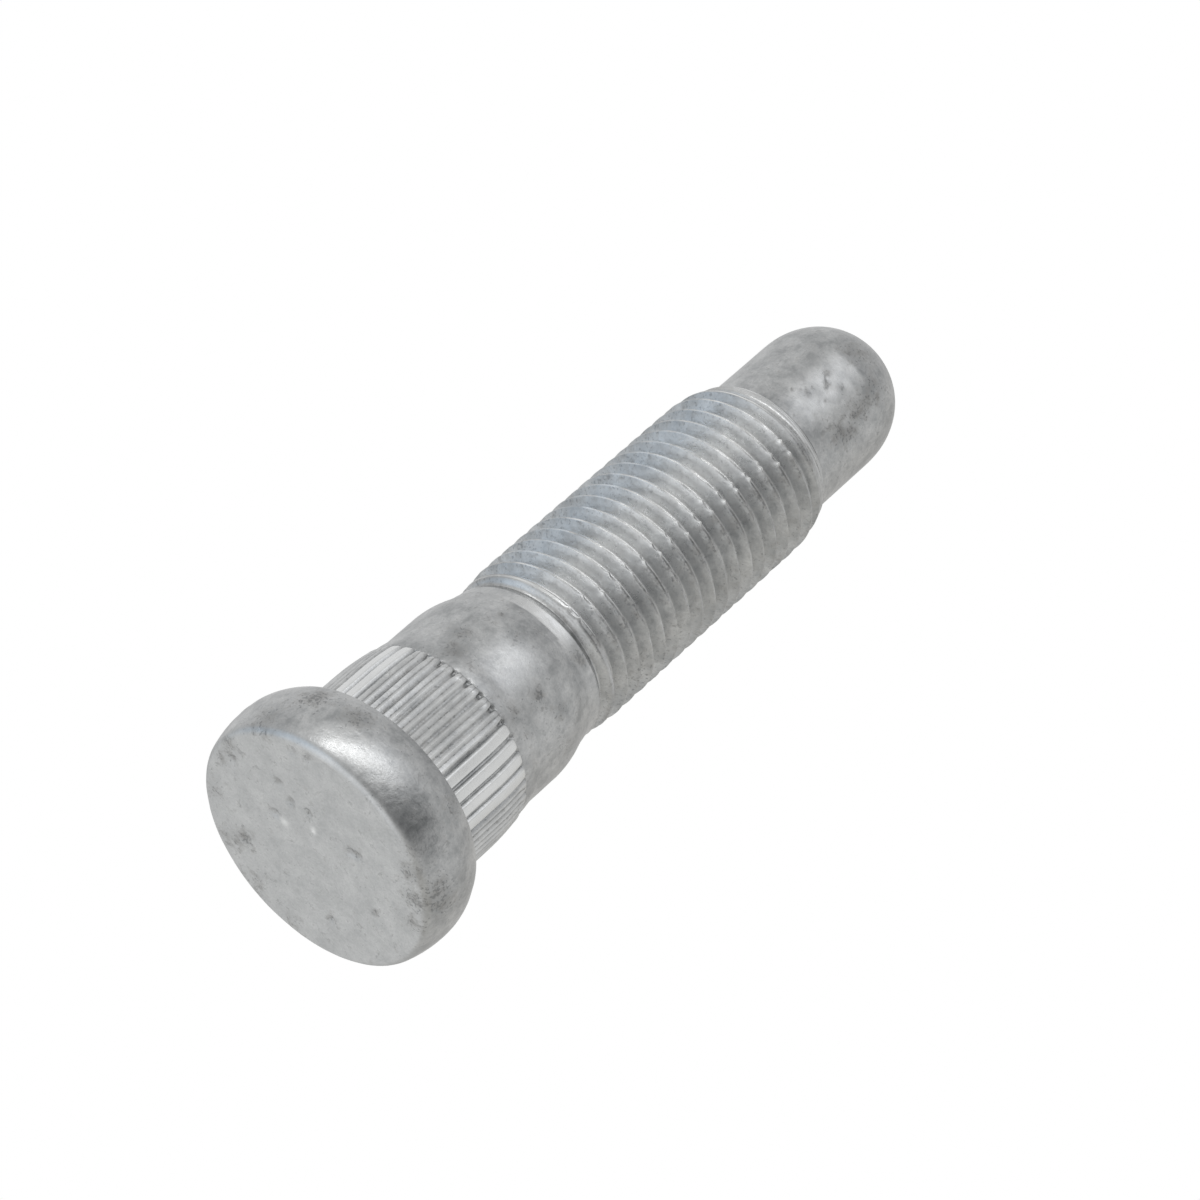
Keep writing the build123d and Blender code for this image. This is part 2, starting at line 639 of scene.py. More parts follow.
# %% [markdown]
# ## Dents and burrs
# The head was struck and the stud has been handled in bulk, so its face has small dents. Where the thread
# rolls met, each crest carries two small burrs, and they line up along the stud. Sculpting needs a window,
# so a dent or a burr is one vertex that is moved, with its neighbours following by proportional editing.

# %% Press dents and pull out burrs
random.seed(14)


def shift(target, move, size):
    """Moves the vertex nearest to a point, and what lies within a size around it follows, in millimetres."""
    nearest = min(stud.data.vertices, key=lambda vertex: (vertex.co / MM - target).length_squared).index
    bpy.ops.object.mode_set(mode="EDIT")
    bpy.ops.mesh.select_mode(type="VERT")
    bpy.ops.mesh.select_all(action="DESELECT")
    bpy.ops.object.mode_set(mode="OBJECT")
    stud.data.vertices[nearest].select = True
    bpy.ops.object.mode_set(mode="EDIT")
    bpy.ops.transform.translate(
        value=Vector(move) * MM,
        use_proportional_edit=True,
        proportional_edit_falloff="SMOOTH",
        proportional_size=size * MM,
    )
    bpy.ops.object.mode_set(mode="OBJECT")


def on_face(nearer, sideways):
    """A point of the head's face, from millimetres towards the viewer and to the side."""
    return around(facing, nearer, 0) + around(facing + 90, sideways, 0)


face_dents = [(0.55, 6.0), (-0.7, -3.8), (2.55, -5.0), (6.3, -5.85), (7.2, -5.0), (3.4, 1.65), (2.8, -2.2)]
face_dents += [(0.05, -8.5), (1.9, -3.45), (-4.2, 4.4), (-5.8, -3.7), (3.7, 2.2)]
dent_depths = (0.16, 0.26)
dent_sizes = (0.5, 0.7)
for nearer, sideways in face_dents:
    depth = random.uniform(*dent_depths)
    shift(on_face(nearer, sideways), (0, 0, depth), random.uniform(*dent_sizes))
print("dents pressed into the face:", len(face_dents))

burr_count = 34
burrs_per_crest = 2
first_burr_angle = -6
burr_drift = 9
burr_gaps = (5, 10)
burr_scatter = (-2, 2)
burr_heights = (0.12, 0.26)
burr_lifts = (0.0, 0.06)
burr_sizes = (0.2, 0.25)
# Each burr is also painted bright, as a painted highlight.
burr_highlight = (0.2, 1.0)
first_crest = crest_height_at_zero + thread_pitch * (facing % 360) / 360
first_burr = first_crest + 2 * thread_pitch
burrs = []
for index in range(burr_count):
    crest, second = divmod(index, burrs_per_crest)
    drift = first_burr_angle + random.uniform(*burr_gaps) * second
    drift += burr_drift * crest * burrs_per_crest / burr_count
    angle = facing + drift + random.uniform(*burr_scatter)
    height = first_burr + crest * thread_pitch + (angle - facing) / 360 * thread_pitch
    outwards = around(angle, random.uniform(*burr_heights), random.uniform(*burr_lifts))
    shift(around(angle, thread_radius, height), outwards, random.uniform(*burr_sizes))
    burrs.append((angle - facing, height, *burr_highlight))
print("burrs pulled out:", burr_count)

# %% [markdown]
# ## Smooth shading
# Turned surfaces are shaded smooth, and the edges of the lands and crests stay crisp. Where the thread
# fades in, its edges cross the crease angle one by one, which would look torn, so they are all soft there.
# Normals that are weighted by face area keep the flanks of the thread and the walls of the grooves flat
# beside their small rounded edges.

# %% Shade the stud
crease_angle = 38
soft_past_full = 0.5
bpy.ops.object.select_all(action="DESELECT")
stud.select_set(True)
bpy.context.view_layer.objects.active = stud
bpy.ops.object.shade_smooth_by_angle(angle=math.radians(crease_angle))
softened = 0
for edge in stud.data.edges:
    heights = [stud.data.vertices[corner].co.z / MM for corner in edge.vertices]
    if shank_high < min(heights) and max(heights) < thread_full + soft_past_full:
        softened += edge.use_edge_sharp
        edge.use_edge_sharp = False
bpy.ops.object.modifier_add(type="WEIGHTED_NORMAL")
stud.modifiers[-1].keep_sharp = True
bpy.ops.object.modifier_apply(modifier=stud.modifiers[-1].name)
print("edges softened where the thread fades in:", softened)

# %% [markdown]
# ## Rubs, smudges, painted highlights and painted shade
# The plate has soft bright rubs and dark smudges, and the head's face was struck smooth. Painted highlights
# lie on the rim, the shoulder, the burrs, two spots of the face, the thread's side that faces up, the rolled
# band and the pilot. Painted shade darkens the dents, the grooves of the hollow lands, and the crests and
# roots of the thread below that side. A picture could hold them, but this lesson uses none. They are painted
# onto the vertices as attributes, as with a soft round brush, and the finish reads them. A spot on the side
# is given by its angle from the facing line, its height, its size and its strength, and one on the face by
# its two lengths, its size and its strength.

# %% Spots for the brush
# Painted highlights: a soft patch on the shoulder and a streak along the rim.
highlight_spots = [(-5, 17.4, 1.7, 0.35), (2, 16.0, 1.2, 0.2), (-14, 17.8, 1.0, 0.2)]
highlight_spots += [(-36, 0.9, 1.2, 0.1), (-29, 1.1, 1.3, 0.25), (-22, 1.3, 1.3, 0.35), (-14, 1.8, 1.2, 0.3)]
highlight_spots += [(-6, 2.3, 1.2, 0.2)]
# Each burr carries a painted highlight too.
highlight_spots += burrs
smudges = [(-31, 15.2, 0.8, 0.8), (18, 17.7, 0.55, 1.0), (-30, 20.4, 0.3, 1.0), (-38, 17.0, 0.9, 0.6)]
smudges += [(-12, 19.2, 0.9, 0.55), (1, 14.2, 0.5, 0.5), (16, 15.1, 0.5, 0.6), (31, 15.2, 0.6, 0.5)]
smudges += [(35, 18.4, 0.9, 0.45), (57, 19.0, 0.8, 0.5), (17, 22.75, 0.5, 0.8), (23, 23.0, 0.5, 0.7)]
smudges += [(-10, 54.6, 0.35, 0.9), (-6, 56.6, 0.3, 1.0), (-11, 57.4, 0.3, 0.9), (3, 57.3, 0.4, 0.9)]
smudges += [(24, 54.4, 0.9, 0.6), (24, 57.3, 1.1, 0.7), (34, 55.5, 0.9, 0.7), (21, 59.6, 1.2, 0.6)]
smudges += [(-6, 61.1, 1.3, 0.35), (-18, 60.6, 1.0, 0.5), (-27, 3.8, 1.1, 0.8), (-48, 3.9, 1.3, 0.8)]
smudges += [(-62, 0.8, 1.2, 0.7), (53, 0.8, 1.5, 0.5), (48, 1.6, 1.0, 0.3), (59, 2.0, 1.0, 0.35)]
smudges += [(44, 0.8, 0.8, 0.3), (24, 4.9, 0.9, 0.5)]
pilot_cracks = [(-4, 56.1), (-6.5, 56.4), (-9, 56.7), (-12, 57.0), (-15, 57.4), (-20, 54.0), (-16, 54.4)]
pilot_cracks += [(-13, 54.9), (-11, 55.3), (0, 54.9), (2, 55.4)]
crack_stain = (0.17, 1.0)
smudges += [(turned, height, *crack_stain) for turned, height in pilot_cracks]
# Each dent on the face is darkened as painted shade; the other face spots are real stains.
dent_shade = (0.36, 0.95)
face_stains_and_shade = [(nearer, sideways, *dent_shade) for nearer, sideways in face_dents]
face_stains_and_shade += [(-5.8, -3.7, 1.3, 0.4), (7.3, 5.3, 0.9, 0.8), (5.5, 7.0, 1.0, 0.8), (3.6, 8.3, 0.9, 0.7)]
face_stains_and_shade += [(0.8, -9.2, 0.7, 0.8), (-0.95, -8.9, 0.6, 0.7), (5.2, -8.0, 0.8, 0.6), (-7.5, -4.5, 1.2, 0.5)]
face_stains_and_shade += [(-8.6, -1, 1.2, 0.5), (-8.3, 3, 1.2, 0.4), (-4.5, -7.5, 0.9, 0.5)]
# Two small painted highlights on the face.
face_glints = [(1.7, -1.0, 0.22, 0.9), (-0.4, -2.8, 0.35, 0.5)]
brush_reach = 3


def from_facing(angle):
    """Degrees around the stud from the line that faces the camera, between minus and plus 180."""
    return (angle - facing + 180) % 360 - 180


def brush(angle, radius, height, spots):
    """How strongly soft round spots on the side cover a point."""
    cover = 0
    for spot_angle, spot_height, size, strength in spots:
        turned = from_facing(angle - spot_angle)
        gap = math.hypot(math.radians(turned) * radius, height - spot_height) / size
        if gap < brush_reach:
            cover += strength * math.exp(-(gap**2))
    return min(cover, 1)


def face_brush(place, spots):
    """How strongly soft round spots on the face cover a point."""
    cover = 0
    for nearer, sideways, size, strength in spots:
        gap = (place - on_face(nearer, sideways)).length / size
        cover += strength * math.exp(-(gap**2))
    return min(cover, 1)


print("spots for the brush:", len(highlight_spots) + len(smudges) + len(face_stains_and_shade) + len(face_glints))

# %% [markdown]
# The lands were pressed by the rolls and rub against everything, so they are brighter and smoother than the
# grooves between them. Hollow lands are rubbed less, and painted shade darkens their grooves and the line
# along their middle.

# %% Wear and painted shade of the serrated band
land_wear_depth = 0.12
land_wear_fade = 0.08
full_land_rub = 0.8
hollow_land_rub = 0.4
groove_shade_depth = 0.1
groove_shade_fade = 0.1
groove_shade = 0.5
hollow_line_angle = 0.4
hollow_line_shade = 0.6


def band_wear(angle, radius, height):
    """Rub, and painted shade in the grooves and hollows, of a point on the serrated band."""
    depth = land_radius - taper(height) - radius
    rub_and_sheen = clamp((land_wear_depth - depth) / land_wear_fade)
    if land_is_full(angle):
        return rub_and_sheen * full_land_rub, 0
    # Painted shade darkens the line along a hollow land's middle and the deep part of its grooves.
    if from_land_middle(angle) < hollow_line_angle:
        return 0, hollow_line_shade
    return rub_and_sheen * hollow_land_rub, groove_shade * clamp((depth - groove_shade_depth) / groove_shade_fade)


print("rub and smudge on a full land:", band_wear(full_sectors[0][0], land_radius, band_start))

# %% [markdown]
# The crests of the thread are rubbed bright in patches, and on the side that faces up its crests and flanks
# carry painted highlights. Dirt stays on the flanks beside that side and on the lower side, and where the
# thread fades in; painted shade darkens the crests and the roots just below that side. Each side is a soft
# window around the
# stud: the angles where it starts, is full, begins to end, and is gone.

# %% Sides and strengths of the thread's wear, painted highlights and painted shade
lit_side = (-70, -42, -10, 12)
rolled_highlight_side = (-45, -18, -2, 14)
glow_side = (-50, -25, -10, 8)
stained_side = (-100, -75, -12, -2)
low_side = (30, 60, 110, 160)
crest_shade_side = (0, 12, 22, 40)
root_side = (8, 20, 45, 65)
dirty_side = (-38, -12, 14, 45)
rolled_rub = 0.1
rolled_side_highlight = 0.75
crest_share = 0.06
crest_fade = 0.02
crest_reach = 0.3
crest_patch = 1.1
patch_level = 0.75
patch_swing = 0.9
patch_least = 0.25
crest_rub = 0.12
lit_crest_highlight = 0.85
crest_glow = 0.35
crest_shade = 0.6
flank_highlight_level = 0.56
flank_highlight_left = 0.15
flank_start = 0.1
flank_full = 0.34
flank_lit_from = (-74, -32)
flank_lit_until = (8, 30)
flank_lit_last = (45, 90)
flank_lit_loss = 0.75
flank_smudge = 0.44
flank_smudge_lit = 0.25
low_smudge = 0.3
root_start = 0.4
root_middle = 0.5
root_level = 0.7
root_shade_dimming = 0.8
first_turns = thread_start - 0.6
first_crest_width = 0.25
first_crest_highlight = 0.3
first_root = 0.3
first_dirt = 0.7
dirt_level = 0.6
last_turn = end_step_height - 0.6
last_turn_highlight = 0.5
patch_noise_size = 0.9
print("the lit side is full from", lit_side[1], "to", lit_side[2], "degrees")

# %% [markdown]
# The thread's own measure is the distance from the nearest crest, as a share of the pitch: zero on a crest
# and a half in a root. With it and the angle from the facing line, each kind of wear, painted highlight and
# painted shade is one short formula.

# %% Wear, painted highlights and painted shade of the thread


def from_crest(angle, height):
    """Distance from the middle of the nearest crest, as a share of the pitch."""
    turns = (height - crest_height_at_zero) / thread_pitch - (angle % 360) / 360
    return abs((turns + 0.5) % 1 - 0.5)


def flank_highlight(turned, gap):
    """Painted highlight of a flank at an angle from the facing line and a distance from the crest."""
    # The flanks are painted lighter on the side that faces up, most of all beside the crests, as a painted
    # highlight.
    lost = flank_lit_loss * fade(turned, *flank_lit_until) + (1 - flank_lit_loss) * fade(turned, *flank_lit_last)
    flank_lit_side = fade(turned, *flank_lit_from) * (1 - lost)
    beside_crest = crest_glow * (1 - fade(gap, crest_share, crest_reach)) * window(turned, *glow_side)
    rub_and_sheen = max(flank_highlight_level * fade(gap, flank_start, flank_full), beside_crest)
    return rub_and_sheen * (flank_highlight_left + (1 - flank_highlight_left) * flank_lit_side)


def thread_wear(place, angle, rub_and_highlight, smudge_and_shade):
    """Rub, smudge, painted highlights and painted shade of a point on the thread, over what the brush left
    there.
    """
    turned = from_facing(angle)
    gap = from_crest(angle, place.z)
    lit = window(turned, *lit_side)
    on_crest = clamp((crest_share - gap) / crest_fade)
    patch = clamp(patch_level + patch_swing * noise.noise(place / crest_patch), patch_least)
    # Crests carry a little real rub, and on the side that faces up a painted highlight.
    rub_and_highlight = max(rub_and_highlight, flank_highlight(turned, gap), (crest_rub + lit_crest_highlight * lit) * patch * on_crest)
    stained = flank_smudge * (1 - on_crest) * window(turned, *stained_side) * (1 - flank_smudge_lit * lit)
    # Painted shade darkens the crests just below the lit side.
    near_crest = 1 - fade(gap, crest_share, crest_reach)
    shaded_crest = crest_shade * near_crest * window(turned, *crest_shade_side)
    uneven = noise.noise(place / patch_noise_size)
    # Painted shade darkens the roots below the lit side, and the painted highlight is taken out of them.
    root_line = fade(gap, root_start, root_middle) * window(turned, *root_side) * clamp(root_level + uneven)
    smudge_and_shade = max(smudge_and_shade, stained, low_smudge * window(turned, *low_side), shaded_crest, root_line)
    rub_and_highlight *= 1 - root_shade_dimming * root_line
    # The first crests carry a painted highlight on the side that faces up.
    if place.z < first_turns and gap < first_crest_width:
        rub_and_highlight = max(rub_and_highlight, first_crest_highlight * lit)
    if place.z < thread_full and gap > first_root:
        dirty = first_dirt * window(turned, *dirty_side) * clamp(dirt_level + uneven)
        smudge_and_shade = max(smudge_and_shade, dirty)
        rub_and_highlight *= 1 - dirty
    # The last turn carries a painted highlight on the side that faces up.
    if place.z > last_turn:
        rub_and_highlight = max(rub_and_highlight, last_turn_highlight * lit)
    return rub_and_highlight, smudge_and_shade


print("rub of a flank that faces the camera:", round(flank_highlight(0, 0.25), 2))

# %% [markdown]
# On the pilot one bright patch is painted as a highlight, with fine cracks in it. Now every vertex is
# painted:
# first by the brush, then by the wear, painted highlights and painted shade of its own stretch.

# %% Paint the attributes
pilot_patch_side = (-34, -16, 2, 17)
pilot_patch_highlight = 0.52
pilot_patch_level = 0.75
pilot_patch_swing = 0.8
pilot_patch_low = pilot_full - 0.4
pilot_patch_high = dome_start + 0.1
crack_wiped = 0.8
face_depth = 0.3
face_inside = face_radius - 0.5
struck_low = 0.15
struck_high = 0.7
# Real rubs and painted highlights share one attribute; smudges and painted shade share another.
rub_and_highlight_marks = stud.data.attributes.new("rub_and_highlight", "FLOAT", "POINT")
smudge_and_shade_marks = stud.data.attributes.new("smudge_and_shade", "FLOAT", "POINT")
struck_marks = stud.data.attributes.new("struck", "FLOAT", "POINT")
for vertex in stud.data.vertices:
    place = vertex.co / MM
    radius = math.hypot(place.x, place.y)
    angle = math.degrees(math.atan2(place.y, place.x))
    turned = from_facing(angle)
    rub_and_highlight = 0
    smudge_and_shade = 0
    if place.z > face_depth or radius > face_inside:
        rub_and_highlight = brush(angle, radius, place.z, highlight_spots)
        smudge_and_shade = brush(angle, radius, place.z, smudges)
    if place.z < face_depth:
        rub_and_highlight = max(rub_and_highlight, face_brush(place, face_glints))
        smudge_and_shade = max(smudge_and_shade, face_brush(place, face_stains_and_shade))
    if band_start < place.z < shoulder_start:
        rub_and_highlight, smudge_and_shade = band_wear(angle, radius, place.z)
    # The rolled band is rubbed a little all round, with a painted highlight on its side that faces up.
    if rolled_height < place.z < neck_height:
        rub_and_highlight = rolled_rub + rolled_side_highlight * window(turned, *rolled_highlight_side)
    if neck_height < place.z < end_step_height:
        rub_and_highlight, smudge_and_shade = thread_wear(place, angle, rub_and_highlight, smudge_and_shade)
    # The pilot's bright patch is a painted highlight, broken into patches and cut by the cracks.
    if pilot_patch_low < place.z < pilot_patch_high:
        uneven_amount = clamp(pilot_patch_level + pilot_patch_swing * noise.noise(place / patch_noise_size))
        patch = pilot_patch_highlight * window(turned, *pilot_patch_side) * uneven_amount
        rub_and_highlight = max(rub_and_highlight, patch) * (1 - crack_wiped * smudge_and_shade)
    rub_and_highlight_marks.data[vertex.index].value = rub_and_highlight
    smudge_and_shade_marks.data[vertex.index].value = smudge_and_shade
    struck_marks.data[vertex.index].value = 1 - fade(place.z, struck_low, struck_high)
print("painted", len(smudges), "smudges on", len(stud.data.vertices), "vertices")

# %% [markdown]
# ## Zinc-plated steel
# Zinc plate is a pale, slightly blue-grey metal. It was laid over forged steel, so it is satin, cloudy at a
# scale of a few millimetres, grainy close up, and specked with small dark pits. It is a full metal, so its
# colour is its reflection, and the clouds change its roughness as much as its colour. Noise on Object
# coordinates gives clouds and grain of a known size in millimetres. The real grain is finer than the render
# can show, so it is drawn coarser.

# %% Helpers for materials


def linear(hex_colour):
    """An sRGB hex colour as linear red, green, blue and alpha."""
    channels = [int(hex_colour[place : place + 2], 16) / 255 for place in (1, 3, 5)]
    return [part / 12.92 if part <= 0.04045 else ((part + 0.055) / 1.055) ** 2.4 for part in channels] + [1]


def per_millimetres(size):
    """Scale of a pattern on Object coordinates whose features are this many millimetres wide."""
    return 1 / (size * MM)


def add_node(tree, kind, settings={}, links={}, output=0):
    """Adds a node, sets its properties and inputs, links other inputs, and gives one of its outputs."""
    node = tree.nodes.new("ShaderNode" + kind)
    for name, value in settings.items():
        if isinstance(name, int) or name in node.inputs:
            node.inputs[name].default_value = value
        else:
            setattr(node, name, value)
    for name, source in links.items():
        tree.links.new(source, node.inputs[name])
    return node.outputs[output]


print("a middle grey in linear light:", round(linear("#808080")[0], 3))

# %% Noise and painted marks
zinc = bpy.data.materials.new("satin_zinc_plate")
zinc.use_nodes = True
tree = zinc.node_tree
shader = tree.nodes["Principled BSDF"]
shader.inputs["Metallic"].default_value = 1
place = add_node(tree, "TexCoord", output="Object")
rub_and_highlight = add_node(tree, "Attribute", {"attribute_name": "rub_and_highlight"}, output="Fac")
smudge_and_shade = add_node(tree, "Attribute", {"attribute_name": "smudge_and_shade"}, output="Fac")
struck = add_node(tree, "Attribute", {"attribute_name": "struck"}, output="Fac")

noise_sizes = {
    "wide clouds": {"Scale": per_millimetres(5), "Detail": 3, "Roughness": 0.55},
    "veins": {"Scale": per_millimetres(2.6), "Detail": 4, "Roughness": 0.6, "Distortion": 0.4},
    "clouds": {"Scale": per_millimetres(2.2), "Detail": 4, "Roughness": 0.6},
    "mottling": {"Scale": per_millimetres(0.7), "Detail": 4, "Roughness": 0.65},
    "pits": {"Scale": per_millimetres(0.22), "Detail": 2, "Roughness": 0.5},
    "grain": {"Scale": per_millimetres(0.16), "Detail": 2, "Roughness": 0.6},
}
patterns = {}
for name, settings in noise_sizes.items():
    patterns[name] = add_node(tree, "TexNoise", settings, {"Vector": place})
mottling = patterns["mottling"]
grain = patterns["grain"]
print("noise patterns:", ", ".join(patterns))

# %% [markdown]
# Clouds and mottling together make the dull plate lighter and darker, less so on the struck face. Smudges,
# with painted shade, and pits gather where the attribute is strong. Veins are thin lines where their noise
# passes its middle.

# %% Shares of each mark
half_clouds = add_node(tree, "Math", {"operation": "MULTIPLY", 1: 0.5}, {0: patterns["clouds"]})
uneven = add_node(tree, "Math", {"operation": "MULTIPLY_ADD", 1: 0.5}, {0: mottling, 2: half_clouds})
swing = {"From Min": 0.38, "From Max": 0.62, "To Min": -0.5, "To Max": 0.5}
swing = add_node(tree, "MapRange", swing, {"Value": uneven})
calm = add_node(tree, "MapRange", {"To Min": 1, "To Max": 0.5}, {"Value": struck})
mottle = add_node(tree, "Math", {"operation": "MULTIPLY_ADD", 2: 0.5}, {0: swing, 1: calm})

# Real smudges and painted shade both darken the plate towards a warm grey.
patchy = add_node(tree, "Math", {"operation": "MULTIPLY_ADD", 1: 0.36}, {0: smudge_and_shade, 2: mottling})
stain_and_shade_range = {"From Min": 0.56, "From Max": 0.86, "To Max": 0.8}
stain_and_shade_share = add_node(tree, "MapRange", stain_and_shade_range, {"Value": patchy})

cover_settings = {"operation": "MULTIPLY_ADD", 1: 0.2}
pit_cover = add_node(tree, "Math", cover_settings, {0: patterns["wide clouds"], 2: patterns["pits"]})
pit_cover = add_node(tree, "Math", {"operation": "MULTIPLY_ADD", 1: 0.26}, {0: smudge_and_shade, 2: pit_cover})
pit_range = {"From Min": 0.80, "From Max": 0.86, "To Max": 0.5}
pits = add_node(tree, "MapRange", pit_range, {"Value": pit_cover})

off_middle = add_node(tree, "Math", {"operation": "SUBTRACT", 1: 0.5}, {0: patterns["veins"]})
off_middle = add_node(tree, "Math", {"operation": "ABSOLUTE"}, {0: off_middle})
vein_line = add_node(tree, "MapRange", {"From Max": 0.016, "To Min": 1, "To Max": 0}, {"Value": off_middle})
vein_range = {"From Min": 0.48, "From Max": 0.6, "To Max": 0.4}
vein_patches = add_node(tree, "MapRange", vein_range, {"Value": mottling})
veins = add_node(tree, "Math", {"operation": "MULTIPLY"}, {0: vein_line, 1: vein_patches})

grain_range = {"From Min": 0.3, "From Max": 0.7, "To Max": 0.22}
grains = add_node(tree, "MapRange", grain_range, {"Value": grain})
# Real rubs and painted highlights lighten the plate towards a pale grey.
polish_and_highlight = add_node(tree, "Math", {"operation": "MULTIPLY", 1: 0.92}, {0: rub_and_highlight})
print("nodes that place the marks:", len(tree.nodes))

# %% [markdown]
# The colour is built in layers, as the surface is: the dull plate, its stains and painted shade, veins, pits
# and grain, and the bright rubs and painted highlights on top. These are smoother as well. The bump is only
# the fine unevenness of the plate; all larger shapes are in the mesh.

# %% Mix the plated finish
dull_colours = {"data_type": "RGBA", 6: linear("#A2A4A5"), 7: linear("#D3D4D4")}
colour = add_node(tree, "Mix", dull_colours, {0: mottle}, output=2)
layers = [(stain_and_shade_share, "#8B8A88"), (veins, "#747678"), (pits, "#66686A"), (grains, "#88898B")]
layers += [(polish_and_highlight, "#F2F3F3")]
for share, tint in layers:
    colour = add_node(tree, "Mix", {"data_type": "RGBA", 7: linear(tint)}, {0: share, 6: colour}, output=2)
tree.links.new(colour, shader.inputs["Base Color"])

rough_noise = add_node(tree, "Math", {"operation": "MULTIPLY_ADD", 1: 0.3}, {0: grain, 2: mottling})
satin_range = {"From Min": 0.45, "From Max": 0.85, "To Min": 0.29, "To Max": 0.42}
satin = add_node(tree, "MapRange", satin_range, {"Value": rough_noise})
polished = add_node(tree, "Math", {"operation": "MULTIPLY_ADD", 1: -0.12}, {0: rub_and_highlight, 2: satin})
tree.links.new(polished, shader.inputs["Roughness"])

relief = add_node(tree, "Math", {"operation": "MULTIPLY_ADD", 1: 0.22}, {0: grain, 2: mottling})
strength = add_node(tree, "MapRange", {"To Min": 0.7, "To Max": 0.35}, {"Value": struck})
bump = add_node(tree, "Bump", {"Distance": 0.05 * MM}, {"Strength": strength, "Height": relief})
tree.links.new(bump, shader.inputs["Normal"])

stud.data.materials.clear()
stud.data.materials.append(zinc)
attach(stud, "root")
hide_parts("wheel_stud")
print("finish:", zinc.name, "with", len(tree.nodes), "nodes")

# %% [markdown]
# ## Floor
# The stud stands on its head on a plain pale floor, painted and almost without gloss. The photograph looks
# up at the head from below that floor, so the floor is only seen from above, and takes no part in the
# metal's reflections.

# %% Lay the floor
floor_gap = 0.02 * MM
floor_radius = 1200 * MM
floor_sides = 96
bpy.ops.object.select_all(action="DESELECT")
bpy.ops.mesh.primitive_circle_add(
    vertices=floor_sides, radius=floor_radius, fill_type="NGON", location=(0, 0, -floor_gap)
)
floor = bpy.context.object
floor.name = "floor"
floor.visible_diffuse = False
floor.visible_glossy = False
floor.visible_transmission = False
floor.visible_shadow = False
floor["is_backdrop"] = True

floor_paint = bpy.data.materials.new("pale_floor_paint")
floor_paint.use_nodes = True
tree = floor_paint.node_tree
paint = tree.nodes["Principled BSDF"]
paint.inputs["Base Color"].default_value = linear("#F2F2F0")
paint.inputs["Roughness"].default_value = 0.8
paint.inputs["Specular IOR Level"].default_value = 0.1
from_below = add_node(tree, "NewGeometry", output="Backfacing")
clear = add_node(tree, "BsdfTransparent")
one_sided = add_node(tree, "MixShader", {}, {0: from_below, 1: paint.outputs[0], 2: clear})
tree.links.new(one_sided, tree.nodes["Material Output"].inputs["Surface"])
floor.data.materials.append(floor_paint)
print("floor is", round(2 * floor_radius / MM), "mm across")

# %% [markdown]
# ## Camera
# The photograph looks at the stud from the side and from below its head, turned in the picture so that the
# shank points up to the right. The lens is long, so the perspective is slight.

# %% Place the camera
camera_rise = 35.8
camera_roll = 48.46
camera_distance = 353.0 * MM
camera_target = Vector((0.188, 0, 32.1)) * MM
turn = Matrix.Rotation(math.radians(camera_azimuth), 3, "Z")
turn @= Matrix.Rotation(math.radians(90 + camera_rise), 3, "X")
turn @= Matrix.Rotation(math.radians(camera_roll), 3, "Z")
camera_place = camera_target + turn @ Vector((0, 0, camera_distance))
bpy.ops.object.camera_add(location=camera_place, rotation=turn.to_euler())
camera = bpy.context.object
camera.data.sensor_width = 36
camera.data.lens = 146.53
bpy.context.scene.camera = camera
print("camera at", [round(length / MM) for length in camera_place], "mm")

# %% [markdown]
# ## Light
# The stud lies in a bright tent: even grey light from all sides, cooler from the left and warmer from
# below, with lighter and darker zones where the tent's walls and its opening show in the metal. Lamps could
# light it as well, but a metal shows what is around it, so the tent is painted into the world. Each zone is
# a direction in the picture, to its right, to its top and out of it, the angles at which it is full and
# gone, and its colour.

# %% Light the stud
picture_right, picture_up, picture_out = (Vector(axis) for axis in turn.transposed())


def towards(right, up, out):
    """A direction given in the picture: to its right, to its top and out of it, to the viewer."""
    return (picture_right * right + picture_up * up + picture_out * out).normalized()


world = bpy.data.worlds.new("studio_tent")
bpy.context.scene.world = world
world.use_nodes = True
tree = world.node_tree
tent = tree.nodes["Background"]
direction = add_node(tree, "TexCoord", output="Generated")
tent_grey = [0.68, 0.68, 0.675, 1]
zones = [
    (towards(0.1, -0.97, 0.1), 10, 60, [0.69, 0.68, 0.65, 1]),
    (towards(-0.95, 0, 0.25), 10, 50, [0.84, 0.94, 1.05, 1]),
    (towards(-0.64, -0.42, 0.64), 5, 40, [1.16, 1.17, 1.18, 1]),
    (towards(-0.75, -0.6, -0.35), 10, 50, [0.93, 0.93, 0.92, 1]),
    (towards(0.61, 0.72, 0.34), 5, 29, [0.96, 0.97, 0.99, 1]),
    (towards(0.65, 0.6, -0.35), 10, 42, [0.61, 0.61, 0.61, 1]),
    (towards(0.95, -0.25, -0.15), 8, 36, [0.77, 0.77, 0.765, 1]),
    (towards(-0.25, 0.65, -0.7), 10, 50, [0.82, 0.82, 0.82, 1]),
    (towards(0.5, -0.32, -0.8), 10, 40, [0.65, 0.64, 0.62, 1]),
    (towards(0.45, -0.05, 0.89), 10, 40, [0.31, 0.31, 0.31, 1]),
]
light = None
for centre, full_angle, gone_angle, colour in zones:
    nearness = {"operation": "DOT_PRODUCT", 1: centre}
    nearness = add_node(tree, "VectorMath", nearness, {0: direction}, output="Value")
    edges = {"From Min": math.cos(math.radians(gone_angle)), "From Max": math.cos(math.radians(full_angle))}
    share = add_node(tree, "MapRange", {"interpolation_type": "SMOOTHSTEP", **edges}, {"Value": nearness})
    below = {6: light} if light else {}
    colours = {"data_type": "RGBA", 6: tent_grey, 7: colour}
    light = add_node(tree, "Mix", colours, {0: share, **below}, output=2)
tree.links.new(light, tent.inputs["Color"])
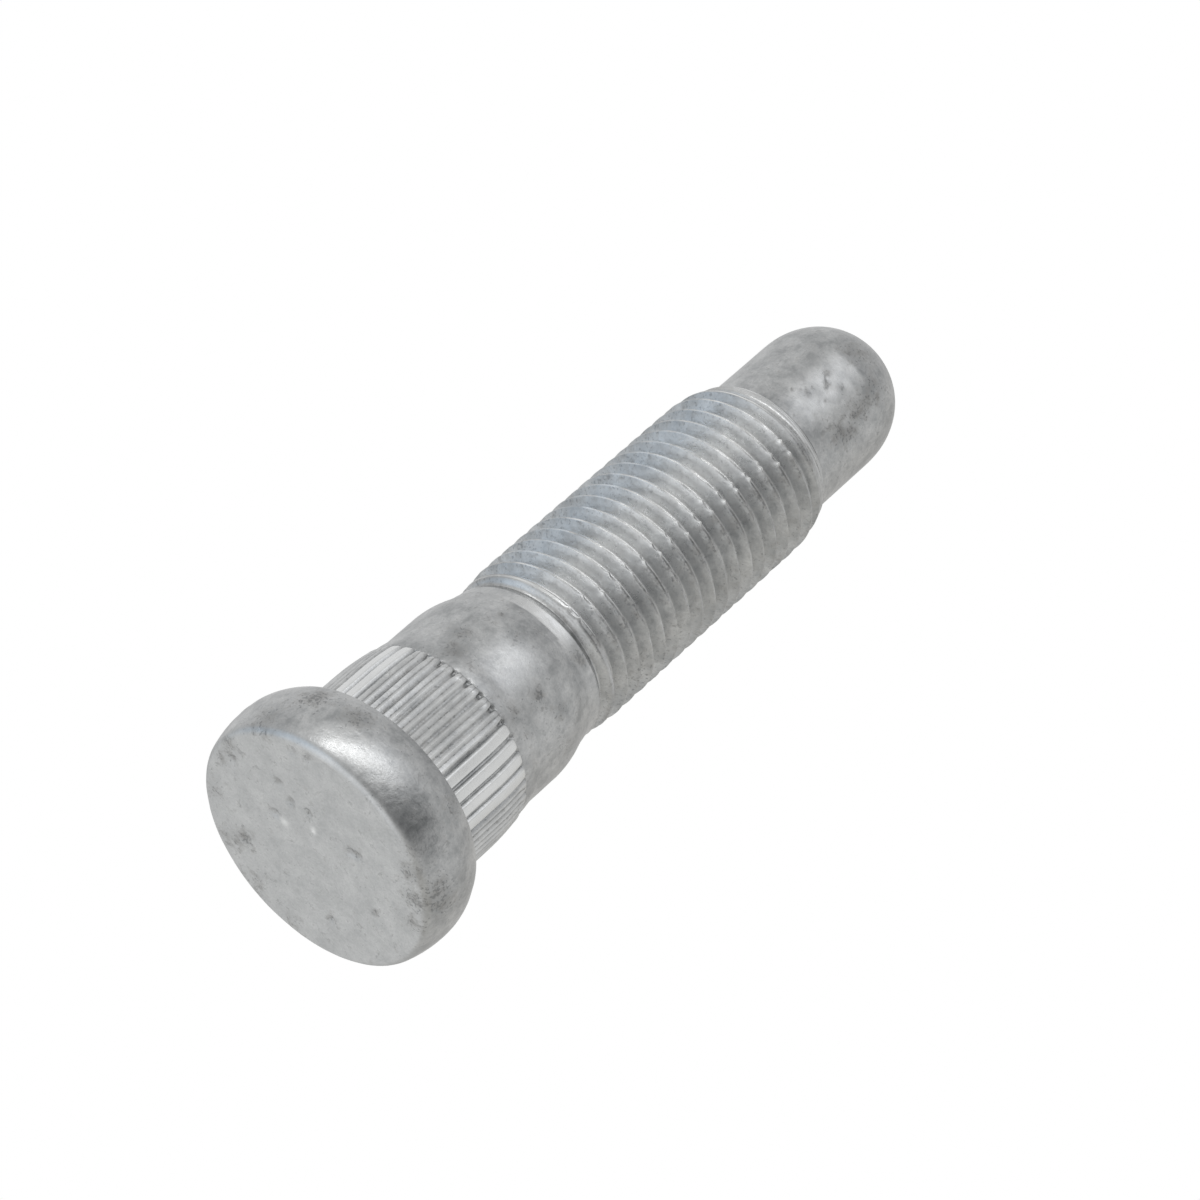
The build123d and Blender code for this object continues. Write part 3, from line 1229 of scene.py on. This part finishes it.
backdrop = add_node(tree, "Background", {"Color": [1, 1, 1, 1]})
seen = add_node(tree, "LightPath", output="Is Camera Ray")
seen_or_lit = add_node(tree, "MixShader", {}, {0: seen, 1: tent.outputs[0], 2: backdrop})
tree.links.new(seen_or_lit, tree.nodes["World Output"].inputs["Surface"])
print("zones in the tent:", len(zones))

# %% [markdown]
# One long soft box makes the white patch on the rim. Beside that patch the rim shows a dark wedge, which
# only the rim reflects, so it comes from something close: a small round card of matt grey paper near the
# head. Both are out of the picture.

# %% Hang the soft box and the grey card
box_distance = 400 * MM
box_length = 420 * MM
box_width = 52 * MM
box_glow = 2.4
box_direction = towards(0.085, 0.812, 0.575)
box_along = towards(0.937, -0.274, 0.213)
box_turn = Matrix((box_along, box_direction.cross(box_along), box_direction)).transposed().to_euler()
box_place = box_direction * box_distance + camera_target
bpy.ops.object.light_add(type="AREA", location=box_place, rotation=box_turn)
soft_box = bpy.context.object
soft_box.name = "soft_box"
soft_box.data.shape = "RECTANGLE"
soft_box.data.size = box_length
soft_box.data.size_y = box_width
soft_box.data.energy = math.pi * box_length * box_width * box_glow
soft_box.visible_camera = False

card_distance = 45 * MM
card_radius = 19 * MM
card_sides = 48
card_direction = towards(0.8, -0.02, 0.6)
dark_wedge = around(facing + 15, 10.2, 1.3) * MM
card_place = dark_wedge + card_direction * card_distance
card_turn = card_direction.to_track_quat("Z", "Y").to_euler()
bpy.ops.mesh.primitive_circle_add(
    vertices=card_sides, radius=card_radius, fill_type="NGON", location=card_place, rotation=card_turn
)
card = bpy.context.object
card.name = "grey_card"
card.visible_camera = False
card.visible_diffuse = False
card.visible_shadow = False
card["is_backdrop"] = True
card_paper = bpy.data.materials.new("grey_card_paper")
card_paper.use_nodes = True
paper = card_paper.node_tree.nodes["Principled BSDF"]
paper.inputs["Base Color"].default_value = linear("#858585")
paper.inputs["Roughness"].default_value = 0.9
card.data.materials.append(card_paper)
bpy.context.scene.view_settings.view_transform = "Standard"
print("soft box at", round(box_distance / MM), "mm and card at", round(card_distance / MM), "mm")

# %% Measure and finish
low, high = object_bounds()
print("visual stud, in mm:", [round(size / MM, 2) for size in high - low])
